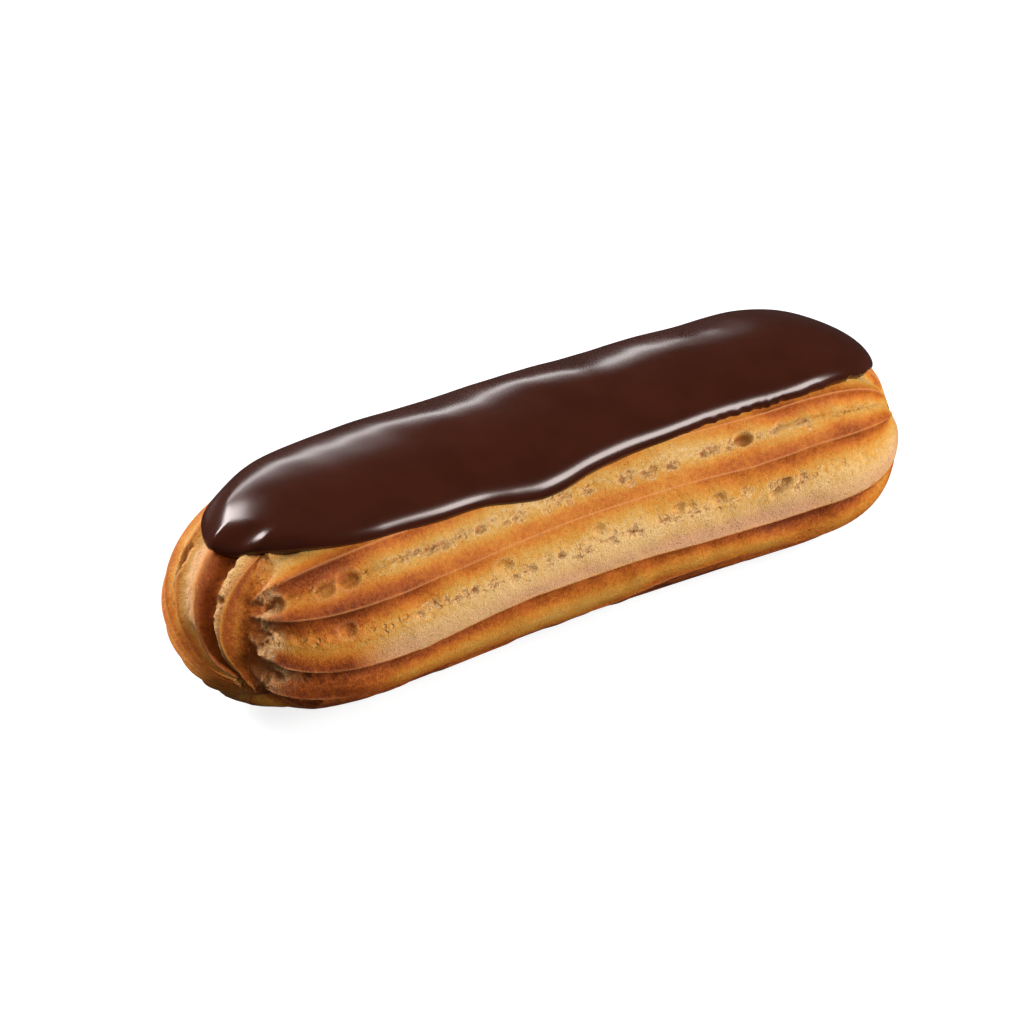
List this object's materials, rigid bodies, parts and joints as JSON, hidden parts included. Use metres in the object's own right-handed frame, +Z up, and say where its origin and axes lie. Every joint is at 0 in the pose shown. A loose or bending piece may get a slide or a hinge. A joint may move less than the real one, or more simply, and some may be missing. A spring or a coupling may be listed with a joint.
{
  "type": "chocolate eclair",
  "caption": "Oblong piped choux bun with sharp lengthwise ridges that fan in at both rounded ends, and a thick glossy chocolate icing over its top.",
  "frame": {"origin": "centre of the flat underside, at the middle of the bounding box in plan", "axes": "+X along the length toward the end where the icing hangs over, +Z up through the icing, -Y toward the near long side"},
  "size_m": [0.14, 0.0484, 0.0402],
  "materials": {
    "baked_choux": "baked crust, golden brown, browner on the ridge crests and paler between them",
    "dark_chocolate": "smooth glossy dark chocolate icing"
  },
  "bodies": {
    "root": {"choux_shell": "baked_choux", "chocolate_icing": "dark_chocolate"}
  },
  "joints": []
}
